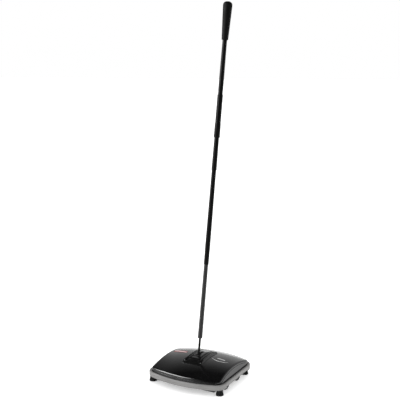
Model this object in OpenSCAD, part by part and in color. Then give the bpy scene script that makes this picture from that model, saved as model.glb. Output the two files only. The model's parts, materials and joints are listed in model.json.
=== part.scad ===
// Manual carpet sweeper: a low bumpered case on four wheels, with a wheel-driven
// roller brush, two dust pans underneath and a long jointed handle on a pivot.
// Millimetres. X runs along the roller, +X to the right; +Y is the rear; +Z is up.
// The origin is on the floor, straight below the middle of the case.

/* [Case] */
// Width across the bumper
body_w = 241; // [236:0.5:246]
// Depth across the bumper on its centre line
body_d = 244; // [240:0.5:248]
// How far the front and rear edges bow out at the middle
edge_bow = 25.7; // [24:0.1:27]
// Radius of the case's corners, seen from above
corner_r = 33; // [30:0.5:34]
// Underside of the bumper above the floor
bumper_low = 17.4; // [17.3:0.1:18]
// How far the bumper's lower edge is raised along the sides, over the wheels
side_rise = 2.4; // [1.5:0.1:2.8]
// Top ledge of the bumper above the floor
bumper_top = 30.8; // [30.5:0.1:31.5]
// Width of the bumper's top ledge
ledge = 7.4; // [7.2:0.1:8]
// Highest point of the crowned cover
crown_z = 64.4; // [64:0.1:66]
// How far the crown falls from the middle to the front ridge
crown_fall = 21.5; // [20:0.1:22]
// How far the crown falls from the middle to the side ridge
side_fall = 9.5; // [8:0.1:10]
// Thickness of the cover and frame walls
wall = 2.2; // [1.8:0.1:2.4]

/* [Roller brush] */
// Radius over the bristles
brush_r = 25; // [24:0.1:25]
// Distance of the roller's axis in front of the middle of the case
works_front = 7; // [5:0.5:8]
// Height of the roller's axis
brush_z = 25.5; // [25.5:0.1:26]
// Radius of the roller's core
core_r = 12; // [11:0.5:13]
// Half length of the roller between the end plates
brush_half = 92; // [90:0.5:92]
// Rows of bristle
bristle_rows = 5; // [4:1:6]

/* [Wheels] */
// Radius over the tyre
wheel_r = 20; // [19.8:0.1:20]
// Distance of each wheel's axle in front of or behind the roller
wheel_y = 36; // [36:0.1:37]
// Width of the tyre
tyre_w = 9; // [8:0.5:9]
// Inner face of the wheels from the middle
wheel_x = 98; // [98:0.1:98.5]

/* [Corner brushes] */
// Distance of the front corner brushes from the middle, left and right
front_brush_x = 106.3; // [105.5:0.1:107]
// Distance of the front corner brushes in front of the middle
front_brush_y = 85; // [84:0.5:86]
// Distance of the rear corner brushes from the middle, left and right
rear_brush_x = 103; // [103:0.1:104]
// Distance of the rear corner brushes behind the middle
rear_brush_y = 81; // [80:0.5:82]
// Radius over a corner brush at the floor
rosette_r = 11; // [10:0.5:11]

/* [Dust pans] */
// Distance of the pan hinges in front of or behind the roller
hinge_y = 80; // [79:0.5:80]
// Height of the pan hinges
hinge_z = 23; // [22.5:0.5:23]
// Half width of a dust pan
pan_half = 92; // [88:0.5:92]

/* [Handle] */
// Length from the pivot to the top of the grip
handle_len = 1014; // [1000:0.5:1060]
// Lean of the handle towards the rear as it stands
lean = 10; // [0:1:20]
// Height of the handle's pivot
pivot_z = 67; // [66.5:0.1:67.5]
// Distance of the handle's pivot in front of the middle of the case
pivot_front = 10.5; // [8:0.5:12]
// Diameter of the bottom rod
rod_d = 6.3; // [5.5:0.1:6.5]
// Largest diameter of the grip
grip_d = 26.8; // [24:0.2:28]
// Diameter of the hanging hole through the grip
hang_d = 7; // [5:0.5:8]

/* [Hidden] */
$fn = 48;
LEFT = -1;
RIGHT = 1;
FRONT = -1;
REAR = 1;
eps = 0.01;

// The case seen from above: bowed ends of one radius, straight sides, round corners.
bow_r = (pow(body_w / 2, 2) + pow(edge_bow, 2)) / (2 * edge_bow);
bow_cy = bow_r - body_d / 2;
corner_cx = body_w / 2 - corner_r;
corner_cy = sqrt(pow(bow_r - corner_r, 2) - pow(corner_cx, 2)) - bow_cy;
corner_turn = asin(corner_cx / (bow_r - corner_r));
// The cover: its foot is inside the ledge, its faces lean in up to the crowned top.
foot_z = bumper_top - 2.8;
ridge_in = 5;
front_slope = 0.27;
side_slope = 0.22;
crown_reach = body_d / 2 - ledge - ridge_in;
crown_power = 2;
half_side = body_w / 2 - ledge - ridge_in;
crown_r = (pow(half_side, 2) + pow(side_fall, 2)) / (2 * side_fall);
crown_steps = 22;
crown_sweep = 26;
// The frame's flange, which the cover and the brackets stand on.
flange_z = foot_z - wall;
skirt_in = 3.7;
open_x = 94.3;
open_y = 86.5;
wheel_open_x = 108.8;
wheel_open_y = 60.5;
plate_x = 94.5;
plate_t = 2;
screw_r = 1.7;
cover_screw_x = 60;
cover_screw_y = 101;
bracket_screw_x = 102;
bracket_screw_y = 66;
// Running fits
axle_r = 2.5;
shaft_r = 3;
shaft_half = 108;
rod_r = 1.5;
stem_r = 2;
pin_r = 1.5;
fit = 0.05;
// The pivot pad on the cover, and the slot that the rod swings in.
pad_half = 31;
pad_front = -58;
pad_rear = 58;
pad_lift = 5;
groove_in = 14.6;
groove_out = 22;
groove_w = 2.4;
groove_front = -43;
groove_rear = 46;
spine_half = 12.6;
spine_lift = 7.5;
spine_front = -34;
spine_rear = 24;
slot_half = 3.8;
slot_front = -18;
slot_rear = 20;
pocket_half = 8.5;
pocket_y = 4.8;
cheek_out = 12;
barrel_r = 4.4;
collar_r = 3.5;
collar_len = 14;
spigot_r = 2.2;
// Stations along the handle, from the pivot.
lower_tube_s = 53;
lower_coupling_s = 263;
middle_tube_s = 304;
upper_tube_s = 533.5;
sleeve_s = 626.5;
sleeve_step_s = 667.5;
top_tube_s = 750;
grip_s = handle_len - 109;
hang_s = handle_len - 14.5;
tube_wall = 1.1;

// ---------- shared shapes ----------

// A quarter of the case's outline, from the middle of the rear edge to the side.
function quarter(inset) = concat(
    [for (k = [0:5]) let (t = corner_turn * k / 6)
        [(bow_r - inset) * sin(t), (bow_r - inset) * cos(t) - bow_cy]],
    [for (k = [0:7]) let (t = corner_turn + (90 - corner_turn) * k / 7)
        [corner_cx + (corner_r - inset) * sin(t), corner_cy + (corner_r - inset) * cos(t)]]);

function reversed(points) = [for (k = [len(points) - 1:-1:0]) points[k]];

// The whole outline, drawn in by inset.
module plan(inset) {
    q = quarter(inset);
    half = concat(q, reversed([for (p = q) [p[0], -p[1]]]));
    polygon(concat(half, reversed([for (p = half) if (p[0] > eps) [-p[0], p[1]]])));
}

// Fall of the crown at a distance from the middle.
function crown_drop(y) = crown_fall * pow(abs(y) / crown_reach, crown_power);

// Everything under the crowned surface, raised or lowered by lift.
module under_crown(lift) {
    reach = body_d / 2;
    top = [for (k = [0:crown_steps]) let (y = reach * (2 * k / crown_steps - 1))
        [crown_r + lift - crown_drop(y), y]];
    translate([0, 0, crown_z - crown_r])
        rotate([90, 0, 0])
            rotate([0, 0, 90 - crown_sweep / 2])
                rotate_extrude(angle = crown_sweep, $fn = 200)
                    polygon(concat(top, [[crown_r - 95, reach], [crown_r - 95, -reach]]));
}

// The cover's solid form, drawn in by t on every face.
module cover_form(t) {
    tall = 60;
    side = body_w / 2 - ledge - t;
    lean_in = side_slope * tall;
    cone_r = bow_r - ledge - t;
    intersection() {
        translate([0, 0, foot_z - eps])
            linear_extrude(tall)
                plan(ledge + t);
        rotate([90, 0, 0])
            translate([0, foot_z - 1, -body_d / 2])
                linear_extrude(body_d)
                    polygon([[-side, 0], [side, 0], [side - lean_in, tall], [lean_in - side, tall]]);
        for (end = [FRONT, REAR]) cover_end(end, cone_r, tall);
        under_crown(-t);
    }
}

// The big cone that one bowed end of the cover belongs to.
module cover_end(end, cone_r, tall) {
    translate([0, -end * bow_cy, bumper_top - 4])
        cylinder(h = tall, r1 = cone_r + 4 * front_slope, r2 = cone_r - (tall - 4) * front_slope, $fn = 300);
}

// A tube or ring along Z, from z0 to z1.
module ring(r_out, r_in, z0, z1) {
    translate([0, 0, z0])
        difference() {
            cylinder(h = z1 - z0, r = r_out);
            translate([0, 0, -1])
                cylinder(h = z1 - z0 + 2, r = r_in);
        }
}

// A cylinder along X between two places, on either side of the middle.
module rod_x(r, x0, x1, y, z) {
    translate([min(x0, x1), y, z])
        rotate([0, 90, 0])
            cylinder(h = abs(x1 - x0), r = r);
}

// Puts its children in the handle's place, which they stand in upright from the pivot.
module on_handle() {
    translate([0, -pivot_front, pivot_z])
        rotate([-lean, 0, 0])
            children();
}

// Puts its children, drawn about the roller's axis, in their place under the case.
module on_works() {
    translate([0, -works_front, 0])
        children();
}

// Where a corner brush stands.
function corner_x(end) = end == FRONT ? front_brush_x : rear_brush_x;
function corner_y(end) = end == FRONT ? -front_brush_y : rear_brush_y;

// A screw pointing up, its head's underside at z.
module screw_up(z, length, head_r) {
    translate([0, 0, z])
        cylinder(h = length, r = screw_r);
    translate([0, 0, z - 1.8])
        difference() {
            cylinder(h = 1.8, r = head_r);
            for (a = [0, 90]) rotate([0, 0, a])
                translate([-head_r * 0.6, -0.4, -1])
                    cube([head_r * 1.2, 0.8, 1.8]);
        }
}

// ---------- case ----------

module bumper() {
    color("gray")
        difference() {
            translate([0, 0, bumper_low])
                linear_extrude(bumper_top - bumper_low)
                    plan(0);
            translate([0, 0, bumper_low - 1])
                linear_extrude(foot_z - bumper_low + 1)
                    plan(skirt_in);
            translate([0, 0, bumper_low - 1])
                linear_extrude(40)
                    plan(ledge);
            side_notches(bumper_low + side_rise);
        }
}

// What is cut away under the straight sides of the case, up to z.
module side_notches(z) {
    notch_half = 71;
    for (side = [LEFT, RIGHT])
        translate([side * (body_w / 2 - 3) - 5, -notch_half, 0])
            cube([10, 2 * notch_half, z]);
}

module base_frame() {
    color([0.1, 0.1, 0.1])
        difference() {
            union() {
                frame_skirt();
                frame_flange();
                for (side = [LEFT, RIGHT], end = [FRONT, REAR]) {
                    pan_lug(side, end);
                    translate([side * corner_x(end), corner_y(end), bumper_low + 0.5])
                        cylinder(h = foot_z - bumper_low - 0.5, r = 5);
                }
            }
            for (side = [LEFT, RIGHT], end = [FRONT, REAR]) frame_holes(side, end);
            side_notches(bumper_low + side_rise + 0.7);
        }
}

module frame_skirt() {
    translate([0, 0, bumper_low + 0.7])
        linear_extrude(foot_z - bumper_low - 0.7)
            difference() {
                plan(skirt_in);
                plan(skirt_in + 2.5);
            }
}

module frame_flange() {
    translate([0, 0, flange_z])
        linear_extrude(wall)
            difference() {
                plan(skirt_in + 1);
                on_works() square([open_x * 2, open_y * 2], center = true);
                on_works() square([wheel_open_x * 2, wheel_open_y * 2], center = true);
            }
}

// One of the four ears that hold the pan rods.
module pan_lug(side, end) {
    on_works()
        translate([side * (plate_x + 1.6) - 1.5, end * hinge_y - 4.5, hinge_z - 4])
            cube([3, 9, flange_z - hinge_z + 4 + eps]);
}

module frame_holes(side, end) {
    on_works()
        rod_x(rod_r, side * (plate_x - 2), side * (plate_x + 6), end * hinge_y, hinge_z);
    translate([side * corner_x(end), corner_y(end), bumper_low - 1])
        cylinder(h = foot_z - bumper_low - 1, r = stem_r + fit);
    translate([side * cover_screw_x, end * cover_screw_y, flange_z - 1])
        cylinder(h = 5, r = screw_r + 0.2);
    on_works()
        translate([side * bracket_screw_x, end * bracket_screw_y, flange_z - 1])
            cylinder(h = 5, r = screw_r + 0.2);
}

module top_cover() {
    color([0.06, 0.06, 0.06])
        difference() {
            union() {
                difference() {
                    cover_form(0);
                    difference() {
                        cover_form(wall);
                        for (side = [LEFT, RIGHT], end = [FRONT, REAR])
                            translate([side * cover_screw_x, end * cover_screw_y, 0])
                                cylinder(h = crown_z, r = 4);
                    }
                    translate([0, 0, foot_z - 2])
                        linear_extrude(2)
                            plan(0);
                }
            }
            translate([-cheek_out - 0.5, slot_front - 3.5, crown_z - 12])
                cube([2 * cheek_out + 1, slot_rear - slot_front + 7, 20]);
            for (side = [LEFT, RIGHT], end = [FRONT, REAR])
                translate([side * cover_screw_x, end * cover_screw_y, foot_z - 1])
                    cylinder(h = 8, r = screw_r);
            for (side = [LEFT, RIGHT], y = [pad_front + 12, pad_rear - 10])
                translate([side * (pad_half - 5.5), y, crown_z - 12])
                    cylinder(h = 20, r = 1.5);
        }
}

module cover_screws() {
    color("silver")
        for (side = [LEFT, RIGHT], end = [FRONT, REAR])
            translate([side * cover_screw_x, end * cover_screw_y, 0])
                screw_up(flange_z, 9, 3.2);
}

// ---------- end plates, bushes and axles ----------

module end_plate(side) {
    color("silver")
        on_works() difference() {
            union() {
                translate([side * (plate_x + plate_t / 2) - plate_t / 2, 0, 0])
                    rotate([90, 0, 90])
                        linear_extrude(plate_t)
                            polygon([[-44, 13], [44, 13], [58, 24], [60, 30], [60, 34], [34, 48.5],
                                [-34, 48.5], [-60, 34], [-60, 30], [-58, 24]]);
                for (end = [FRONT, REAR])
                    translate([min(side * plate_x, side * 108), end * 65.5 - 6.5, foot_z])
                        cube([108 - plate_x, 13, plate_t]);
            }
            rod_x(5, side * (plate_x - 1), side * (plate_x + 4), 0, brush_z);
            for (end = [FRONT, REAR]) {
                rod_x(axle_r, side * (plate_x - 1), side * (plate_x + 4), end * wheel_y, wheel_r);
                translate([side * bracket_screw_x, end * bracket_screw_y, foot_z - 1])
                    cylinder(h = 5, r = screw_r);
            }
        }
}

module bracket_screws() {
    color("silver")
        for (side = [LEFT, RIGHT], end = [FRONT, REAR])
            on_works() translate([side * bracket_screw_x, end * bracket_screw_y, 0])
                screw_up(flange_z, 6, 3);
}

// A flanged sleeve that the brush shaft turns in.
module shaft_bush(side) {
    color("white")
        translate([side * plate_x, -works_front, brush_z])
            rotate([0, side * 90, 0])
                difference() {
                    union() {
                        translate([0, 0, -1.2])
                            cylinder(h = 1.2, r = 7);
                        cylinder(h = plate_t + 0.8, r = 5);
                    }
                    translate([0, 0, -3])
                        cylinder(h = 8, r = shaft_r + fit);
                }
}

// A stub axle, riveted to the end plate and capped outside the wheel.
module axle(side, end) {
    color("silver")
        translate([side * plate_x, end * wheel_y - works_front, wheel_r])
            rotate([0, side * 90, 0]) {
                translate([0, 0, -1.4])
                    cylinder(h = 1.4, r = 4);
                cylinder(h = wheel_x + tyre_w + 0.4 - plate_x, r = axle_r);
                translate([0, 0, wheel_x + tyre_w + 0.4 - plate_x])
                    cylinder(h = 0.9, r = 4);
            }
}

// A bar of short teeth that combs the bristles above one pan.
module comb(end) {
    tilt = 50;
    color([0.15, 0.15, 0.15])
        translate([0, -works_front, brush_z])
            rotate([end * -(90 - tilt), 0, 0]) {
                translate([-plate_x, -1, brush_r + 5])
                    cube([plate_x * 2, 2, 4]);
                for (k = [-15:15])
                    translate([k * 6 - 0.8, -0.6, brush_r + 0.8])
                        cube([1.6, 1.2, 4.4]);
            }
}

// ---------- pivot ----------

// The pad's outline, rounded at its corners.
module pad_plan(inset) {
    r = 9;
    x = pad_half - inset - r;
    y0 = pad_front + inset + r;
    y1 = pad_rear - inset - r;
    polygon(concat(
        [for (t = [0:15:90]) [x + r * cos(t), y1 + r * sin(t)]],
        [for (t = [90:15:180]) [-x + r * cos(t), y1 + r * sin(t)]],
        [for (t = [180:15:270]) [-x + r * cos(t), y0 + r * sin(t)]],
        [for (t = [270:15:360]) [x + r * cos(t), y0 + r * sin(t)]]));
}

module pivot_base() {
    groove = 2;
    color([0.09, 0.09, 0.09])
        difference() {
            union() {
                pad_shell(-pad_half, pad_half, pad_front, pad_rear, pad_lift);
                pad_shell(-spine_half, spine_half, spine_front, spine_rear, spine_lift);
                for (side = [LEFT, RIGHT]) pivot_cheek(side);
            }
            translate([-slot_half, slot_front, crown_z - 15])
                cube([2 * slot_half, slot_rear - slot_front, 30]);
            translate([-pocket_half, -pivot_front - pocket_y, crown_z - 15])
                cube([2 * pocket_half, 2 * pocket_y, 30]);
            rod_x(pin_r, -cheek_out - 0.5, cheek_out + 0.5, -pivot_front, pivot_z);
            difference() {
                for (side = [LEFT, RIGHT], x = [groove_in, groove_out])
                    translate([side * x - groove_w / 2, groove_front, crown_z - 5])
                        cube([groove_w, groove_rear - groove_front, 20]);
                under_crown(pad_lift - groove);
            }
            for (side = [LEFT, RIGHT], y = [pad_front + 12, pad_rear - 10])
                translate([side * (pad_half - 5.5), y, crown_z - 12 - crown_drop(y)])
                    cylinder(h = 15, r = 1.2);
        }
}

// The part of the pad in a box seen from above, as thick as lift.
module pad_shell(x0, x1, y0, y1, lift) {
    intersection() {
        translate([0, 0, crown_z - 20])
            linear_extrude(40)
                pad_plan(0);
        translate([x0, y0, crown_z - 20])
            cube([x1 - x0, y1 - y0, 40]);
        difference() {
            under_crown(lift);
            under_crown(0);
        }
    }
}

// A wall beside the pocket that holds one end of the pivot pin.
module pivot_cheek(side) {
    translate([min(side * pocket_half, side * cheek_out), -pivot_front - pocket_y - 3, crown_z - 8])
        cube([cheek_out - pocket_half, 2 * pocket_y + 6, 11]);
}

module pivot_screws() {
    color("silver")
        for (side = [LEFT, RIGHT], y = [pad_front + 12, pad_rear - 10])
            translate([side * (pad_half - 5.5), y, 0]) {
                z = crown_z - 3.4 - crown_drop(y);
                translate([0, 0, z])
                    cylinder(h = 5.5, r = 1.2);
                translate([0, 0, z - 1.5])
                    cylinder(h = 1.5, r = 2.6);
            }
}

module pivot_pin() {
    color("silver")
        rod_x(pin_r, -cheek_out, cheek_out, -pivot_front, pivot_z);
}

// ---------- trim ----------

// A plain raised plate on the crown, with no lettering.
module badge() {
    color("firebrick")
        crown_trim(-71, 12.5, 43, 14, 0.8);
}

// A plain bar and a shallow arc on the crown.
module accent() {
    arc_x = 61.5;
    arc_front = -7.8;
    arc_r = 38.5;
    inner_r = 43;
    color("silver") {
        crown_trim(arc_x + 1, 10.5, 25, 4.5, 0.5);
        intersection() {
            crown_trim(arc_x, -2, 54, 14, 0.5);
            translate([arc_x, arc_front + arc_r, crown_z - 20])
                difference() {
                    cylinder(h = 40, r = arc_r, $fn = 180);
                    translate([0, inner_r - arc_r + 2.1, -1])
                        cylinder(h = 42, r = inner_r, $fn = 180);
                }
        }
    }
}

// A thin plate that follows the crown.
module crown_trim(x, y, w, d, t) {
    intersection() {
        translate([x - w / 2, y - d / 2, crown_z - 20])
            cube([w, d, 40]);
        difference() {
            under_crown(t);
            under_crown(0);
        }
    }
}

// ---------- dust pans ----------

// One tray, drawn for the rear and mirrored for the front.
module pan(end) {
    lip_y = 28.5;
    outer_y = hinge_y + 3.6;
    t = 1.6;
    color([0.12, 0.12, 0.12])
        on_works() mirror([0, end == FRONT ? 1 : 0, 0])
            difference() {
                union() {
                    pan_slab(-pan_half, pan_half,
                        [[lip_y, 5], [34, 5], [outer_y, 6], [outer_y, 18.5], [outer_y - t, 18.5],
                        [outer_y - t, 6 + t], [33.5, 5 + t], [lip_y + 4, 14], [lip_y + 2.2, 14]]);
                    for (side = [LEFT, RIGHT]) {
                        pan_slab(side * pan_half, side * (pan_half - t),
                            [[lip_y, 5], [34, 5], [outer_y, 6], [outer_y, hinge_z + 1],
                            [hinge_y - 2, hinge_z + 2.4], [64, 24], [lip_y + 9, 20], [lip_y + 2.2, 14]]);
                        rod_x(3.2, side * pan_half, side * (pan_half - 6), hinge_y, hinge_z);
                    }
                    pan_slab(-14, 14, [[40, 1.8], [42, 1.8], [46, 6], [38, 6]]);
                }
                rod_x(rod_r + fit, -pan_half - 1, pan_half + 1, hinge_y, hinge_z);
            }
}

// A slice of pan between two places along X, with an outline in Y and Z.
module pan_slab(x0, x1, outline) {
    translate([min(x0, x1), 0, 0])
        rotate([90, 0, 90])
            linear_extrude(abs(x1 - x0))
                polygon(outline);
}

module pan_rod(end) {
    color("silver")
        on_works() rod_x(rod_r, -plate_x - 4.5, plate_x + 4.5, end * hinge_y, hinge_z);
}

// The two torsion springs of one pan: a coil on the rod and its two legs.
module pan_springs(end) {
    coil_x = 76;
    color("silver")
        for (side = [LEFT, RIGHT])
            on_works() translate([side * coil_x - 4, end * hinge_y, hinge_z]) {
                rotate([0, 90, 0])
                    difference() {
                        cylinder(h = 8, r = 3);
                        translate([0, 0, -1])
                            cylinder(h = 10, r = 2);
                    }
                translate([1.2, 0, 2.5])
                    rotate([end * -90, 0, 0])
                        cylinder(h = 9, r = 0.4, $fn = 16);
                translate([6.8, end, -9])
                    cylinder(h = 6.8, r = 0.4, $fn = 16);
            }
}

// ---------- roller brush ----------

module brush_shaft() {
    color("silver")
        on_works() rod_x(shaft_r, -shaft_half, shaft_half, 0, brush_z);
}

module brush_core() {
    color("peru")
        on_works() difference() {
            rod_x(core_r, -brush_half, brush_half, 0, brush_z);
            rod_x(shaft_r, -brush_half - 1, brush_half + 1, 0, brush_z);
        }
}

// Spiral rows of bristle, each a twisted strip rooted in the core.
module brush_bristles() {
    color([0.2, 0.2, 0.2])
        translate([1 - brush_half, -works_front, brush_z])
            rotate([0, 90, 0])
                for (k = [0:bristle_rows - 1])
                    linear_extrude(2 * brush_half - 2, twist = 120, slices = 24, segments = 5)
                        rotate(k * 360 / bristle_rows)
                            polygon([[core_r - 0.8, -2], [brush_r * 0.996, -3.2], [brush_r, 0],
                                [brush_r * 0.996, 3.2], [core_r - 0.8, 2]]);
}

// The drum at each end of the roller that the tyres drive.
module drive_hub(side) {
    hub_r = norm([wheel_y, brush_z - wheel_r]) - wheel_r - 0.3;
    x0 = side * wheel_x;
    x1 = side * (wheel_x + tyre_w);
    color([0.25, 0.25, 0.25])
        on_works() difference() {
            rod_x(hub_r, x0, x1, 0, brush_z);
            difference() {
                rod_x(hub_r - 2, x1 - side * 5, x1 + side, 0, brush_z);
                rod_x(6, x1 - side * 6, x1 + side * 2, 0, brush_z);
            }
            rod_x(shaft_r, x0 - side, x1 + side, 0, brush_z);
        }
}

// ---------- wheels ----------

tyre_in = 16;

module wheel(side, end) {
    x0 = side * wheel_x;
    x1 = side * (wheel_x + tyre_w);
    y = end * wheel_y;
    color([0.3, 0.3, 0.3])
        on_works() difference() {
            rod_x(tyre_in, x0, x1, y, wheel_r);
            difference() {
                rod_x(tyre_in - 2, x1 - side * 4, x1 + side, y, wheel_r);
                rod_x(5.5, x1 - side * 5, x1 + side * 2, y, wheel_r);
            }
            rod_x(axle_r + fit, x0 - side, x1 + side, y, wheel_r);
        }
}

module tyre(side, end) {
    x0 = side * wheel_x;
    x1 = side * (wheel_x + tyre_w);
    y = end * wheel_y;
    color([0.05, 0.05, 0.05])
        on_works() difference() {
            rod_x(wheel_r, x0, x1, y, wheel_r);
            rod_x(tyre_in, x0 - side, x1 + side, y, wheel_r);
        }
}

// ---------- corner brushes ----------

// The round carrier of a corner brush, with the stem that it turns on.
module rosette(side, end) {
    color([0.1, 0.1, 0.1])
        translate([side * corner_x(end), corner_y(end), 0]) {
            translate([0, 0, 12.5])
                cylinder(h = 4.5, r = 7.5);
            translate([0, 0, 16])
                cylinder(h = foot_z - 2.4 - 16, r = stem_r);
        }
}

// The ring of bristle under the carrier, spread out at the floor.
module tuft(side, end) {
    color([0.05, 0.05, 0.05])
        translate([side * corner_x(end), corner_y(end), 0.4])
            cylinder(h = 12.1, r1 = rosette_r, r2 = 9.5);
}

// ---------- handle ----------

// The barrel on the pivot pin, with the socket of the bottom rod.
module rod_foot() {
    color([0.08, 0.08, 0.08])
        on_handle()
            difference() {
                union() {
                    rod_x(barrel_r, 0.5 - pocket_half, pocket_half - 0.5, 0, 0);
                    cylinder(h = collar_len, r = collar_r);
                }
                rod_x(pin_r + fit, -pocket_half, pocket_half, 0, 0);
                translate([0, 0, 4])
                    cylinder(h = collar_len, r = spigot_r);
            }
}

// The steel rod, stepped down at its foot to fit the collar.
module bottom_rod() {
    color([0.08, 0.08, 0.08])
        on_handle() {
            translate([0, 0, 4])
                cylinder(h = collar_len - 3, r = spigot_r);
            translate([0, 0, collar_len])
                cylinder(h = lower_tube_s + 12 - collar_len, r = rod_d / 2);
        }
}

module lower_tube_plug() {
    color([0.08, 0.08, 0.08])
        on_handle()
            difference() {
                union() {
                    translate([0, 0, lower_tube_s - 1.5])
                        cylinder(h = 1.5, r = 6);
                    translate([0, 0, lower_tube_s])
                        cylinder(h = 16, r = 5.4);
                }
                translate([0, 0, lower_tube_s - 2])
                    cylinder(h = 14, r = rod_d / 2);
            }
}

// A tapered steel tube with a straight spigot at its top.
module tapered_tube(s0, s1, r0, r1, spigot_r, spigot) {
    on_handle()
        difference() {
            union() {
                translate([0, 0, s0])
                    cylinder(h = s1 - s0, r1 = r0, r2 = r1);
                translate([0, 0, s0 + 5])
                    cylinder(h = s1 - s0 - 5 + spigot, r = spigot_r);
            }
            translate([0, 0, s0 - 1])
                cylinder(h = s1 - s0 + spigot + 2, r = spigot_r - tube_wall);
            translate([0, 0, s0 - 1])
                cylinder(h = 42, r = r0 - tube_wall);
        }
}

module lower_tube() {
    color([0.13, 0.13, 0.13])
        tapered_tube(lower_tube_s, lower_coupling_s, 6.6, 6.05, 5.7, 16);
}

// The moulded joint between the lower and the middle tube.
module lower_coupling() {
    color([0.04, 0.04, 0.04])
        on_handle()
            difference() {
                union() {
                    translate([0, 0, lower_coupling_s])
                        cylinder(h = middle_tube_s - lower_coupling_s, r = 7);
                    translate([0, 0, middle_tube_s])
                        cylinder(h = 34, r = 6.1);
                }
                translate([0, 0, lower_coupling_s - 1])
                    cylinder(h = 18, r = 5.7);
                translate([0, 0, lower_coupling_s])
                    cylinder(h = 100, r = 3.5);
            }
}

module middle_tube() {
    color([0.08, 0.08, 0.08])
        tapered_tube(middle_tube_s, upper_tube_s, 7.25, 6.4, 6.1, 30);
}

module upper_tube() {
    color([0.08, 0.08, 0.08])
        tapered_tube(upper_tube_s, sleeve_s, 7.3, 6.85, 6.6, 30);
}

// The moulded sleeve and collar that the upper two tubes screw into.
module coupling_sleeve() {
    color([0.05, 0.05, 0.05])
        on_handle()
            difference() {
                union() {
                    translate([0, 0, sleeve_s])
                        cylinder(h = sleeve_step_s - sleeve_s, r1 = 8.75, r2 = 8.55);
                    translate([0, 0, sleeve_step_s])
                        cylinder(h = top_tube_s - sleeve_step_s, r = 8);
                }
                translate([0, 0, sleeve_s - 1])
                    cylinder(h = 200, r = 6.6);
            }
}

// The threaded insert inside the sleeve.
module top_tube_ferrule() {
    color("silver")
        on_handle()
            ring(5.5, 4, sleeve_s + 25, top_tube_s - 5);
}

module top_tube() {
    color([0.08, 0.08, 0.08])
        on_handle()
            difference() {
                union() {
                    translate([0, 0, sleeve_s + 35])
                        cylinder(h = top_tube_s - sleeve_s - 35, r = 6.6);
                    translate([0, 0, top_tube_s])
                        cylinder(h = grip_s - top_tube_s, r1 = 7.1, r2 = 6.5);
                    translate([0, 0, grip_s])
                        cylinder(h = 84, r = 6.5);
                }
                translate([0, 0, sleeve_s])
                    cylinder(h = 600, r = 5.5);
            }
}

// The hand grip: a long soft taper with a domed top and a hanging hole across it.
module grip() {
    top_r = grip_d / 2;
    len = handle_len - grip_s;
    dome = 9;
    color([0.05, 0.05, 0.05])
        on_handle()
            difference() {
                translate([0, 0, grip_s])
                    rotate_extrude($fn = 72)
                        polygon(concat([[0, 0]],
                            [for (t = [-90:15:0]) [9.55 - 2 + 2 * cos(t), 2 + 2 * sin(t)]],
                            [[top_r - 0.6, len - dome - 12], [top_r, len - dome - 3]],
                            [for (t = [0:10:90]) [top_r - dome + dome * cos(t), len - dome + dome * sin(t)]],
                            [[0, len]]));
                translate([0, 0, grip_s - 1])
                    cylinder(h = 86, r = 6.5);
                rod_x(hang_d / 2, -20, 20, 0, hang_s);
            }
}

// ---------- the nodes ----------

bumper();
base_frame();
top_cover();
cover_screws();
end_plate(LEFT);  // left_end_plate
end_plate(RIGHT);  // right_end_plate
bracket_screws();
shaft_bush(LEFT);  // left_shaft_bush
shaft_bush(RIGHT);  // right_shaft_bush
comb(FRONT);  // front_comb
comb(REAR);  // rear_comb
pivot_base();
pivot_screws();
pivot_pin();
badge();
accent();
pan_rod(FRONT);  // front_pan_rod
pan_rod(REAR);  // rear_pan_rod
pan_springs(FRONT);  // front_pan_springs
pan_springs(REAR);  // rear_pan_springs
axle(LEFT, FRONT);  // left_front_axle
axle(LEFT, REAR);  // left_rear_axle
axle(RIGHT, FRONT);  // right_front_axle
axle(RIGHT, REAR);  // right_rear_axle
pan(FRONT);  // front_pan
pan(REAR);  // rear_pan
brush_shaft();
brush_core();
brush_bristles();
drive_hub(LEFT);  // left_drive_hub
drive_hub(RIGHT);  // right_drive_hub
wheel(LEFT, FRONT);  // left_front_wheel
wheel(LEFT, REAR);  // left_rear_wheel
wheel(RIGHT, FRONT);  // right_front_wheel
wheel(RIGHT, REAR);  // right_rear_wheel
tyre(LEFT, FRONT);  // left_front_tyre
tyre(LEFT, REAR);  // left_rear_tyre
tyre(RIGHT, FRONT);  // right_front_tyre
tyre(RIGHT, REAR);  // right_rear_tyre
rosette(LEFT, FRONT);  // left_front_rosette
rosette(LEFT, REAR);  // left_rear_rosette
rosette(RIGHT, FRONT);  // right_front_rosette
rosette(RIGHT, REAR);  // right_rear_rosette
tuft(LEFT, FRONT);  // left_front_tuft
tuft(LEFT, REAR);  // left_rear_tuft
tuft(RIGHT, FRONT);  // right_front_tuft
tuft(RIGHT, REAR);  // right_rear_tuft
rod_foot();
bottom_rod();
lower_tube_plug();
lower_tube();
lower_coupling();
middle_tube();
upper_tube();
coupling_sleeve();
top_tube_ferrule();
top_tube();
grip();
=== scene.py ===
"""Carpet sweeper: the looks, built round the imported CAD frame.

Shapes are worked out in millimetres in the frame's own axes (+X right, +Y rear, +Z up)
and turned into metres when a mesh is made.
"""

import json
import math
import random

import bmesh
import bpy
from mathutils import Matrix, Vector


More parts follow.
